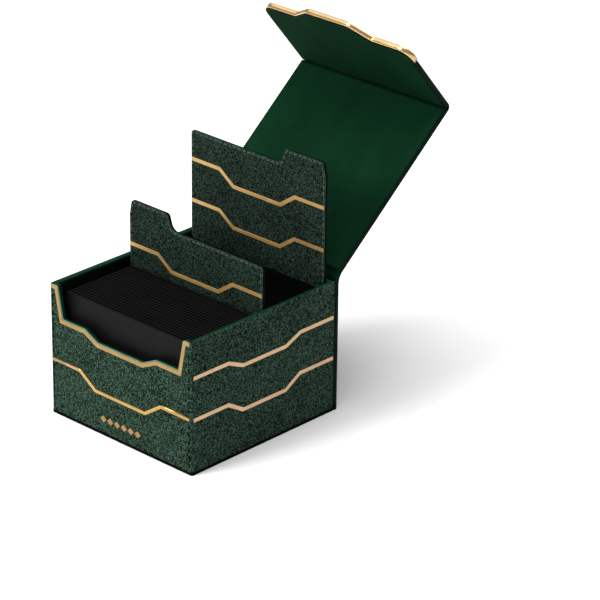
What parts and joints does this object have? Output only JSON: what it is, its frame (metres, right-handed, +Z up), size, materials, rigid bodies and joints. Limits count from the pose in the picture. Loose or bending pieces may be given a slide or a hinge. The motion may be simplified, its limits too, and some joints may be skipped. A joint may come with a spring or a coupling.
{
  "type": "card deck box",
  "caption": "Flip-top card deck box: cloth-covered board tray with a folding magnetic lid, two lift-out dividers and card decks.",
  "frame": {"origin": "centre of the tray's underside", "axes": "+X to the box's right seen from the front, +Y from the front wall to the back, +Z up"},
  "size_m": [0.1024, 0.1894, 0.1915],
  "materials": {
    "woven_cloth": "heathered woven cloth, deep green",
    "suede_lining": "smooth napped lining, dark green",
    "greyboard": "raw grey bookbinding board",
    "gold_foil": "satin gold foil strip",
    "gold_metal": "polished rose-gold metal edging",
    "magnet_steel": "nickel-plated disc magnet",
    "card_black": "matte black sleeved cards"
  },
  "bodies": {
    "tray": {"base_sheet": "woven_cloth", "body_wrap": "woven_cloth", "base_board": "greyboard", "front_board": "greyboard", "back_board": "greyboard", "left_board": "greyboard", "right_board": "greyboard", "floor_lining": "suede_lining", "front_lining": "suede_lining", "back_lining": "suede_lining", "left_lining": "suede_lining", "right_lining": "suede_lining", "front_magnets": "magnet_steel", "front_upper_trim": "gold_foil", "front_lower_trim": "gold_metal", "front_ornament": "gold_foil", "left_upper_trim": "gold_foil", "left_lower_trim": "gold_foil", "right_upper_trim": "gold_foil", "right_lower_trim": "gold_foil", "cover_back_board": "greyboard", "cover_back_cloth": "woven_cloth"},
    "fold_lower": {"lower_fold_strip": "woven_cloth"},
    "fold_upper": {"upper_fold_strip": "woven_cloth"},
    "lid": {"lid_cloth": "woven_cloth", "lid_board": "greyboard", "lid_lining": "suede_lining"},
    "flap": {"flap_cloth": "woven_cloth", "flap_board": "greyboard", "flap_lining": "suede_lining", "flap_magnets": "magnet_steel", "flap_edge_bar": "gold_metal"},
    "front_divider": {"front_divider_board": "greyboard", "front_divider_front_cloth": "woven_cloth", "front_divider_back_cloth": "woven_cloth", "front_divider_upper_trim": "gold_foil", "front_divider_lower_trim": "gold_foil"},
    "rear_divider": {"rear_divider_board": "greyboard", "rear_divider_front_cloth": "woven_cloth", "rear_divider_back_cloth": "woven_cloth", "rear_divider_upper_trim": "gold_foil", "rear_divider_lower_trim": "gold_foil"},
    "front_deck": {"front_deck": "card_black"},
    "rear_deck": {"rear_deck": "card_black"}
  },
  "joints": [
    {"name": "back_fold_lower", "type": "hinge", "parent": "tray", "child": "fold_lower", "pos_m": [0, 0.0533, 0.07237], "axis": [-1, 0, 0], "range_deg": [-46.67, 13.33]},
    {"name": "back_fold_middle", "type": "hinge", "parent": "fold_lower", "child": "fold_upper", "pos_m": [0, 0.05399, 0.07467], "axis": [-1, 0, 0], "range_deg": [-46.67, 13.33]},
    {"name": "back_fold_upper", "type": "hinge", "parent": "fold_upper", "child": "lid", "pos_m": [0, 0.05531, 0.07668], "axis": [-1, 0, 0], "range_deg": [-46.67, 13.33]},
    {"name": "flap_fold", "type": "hinge", "parent": "lid", "child": "flap", "pos_m": [0, 0.13645, 0.14476], "axis": [-1, 0, 0], "range_deg": [0, 90]},
    {"name": "front_divider_lift", "type": "slide", "parent": "tray", "child": "front_divider", "axis": [0, 0, 1], "range_m": [-0.0316, 0.0392]},
    {"name": "rear_divider_lift", "type": "slide", "parent": "tray", "child": "rear_divider", "axis": [0, 0, 1], "range_m": [-0.0658, 0.005]},
    {"name": "front_deck_lift", "type": "slide", "parent": "tray", "child": "front_deck", "axis": [0, 0, 1], "range_m": [0, 0.07]},
    {"name": "rear_deck_lift", "type": "slide", "parent": "tray", "child": "rear_deck", "axis": [0, 0, 1], "range_m": [0, 0.07]}
  ]
}
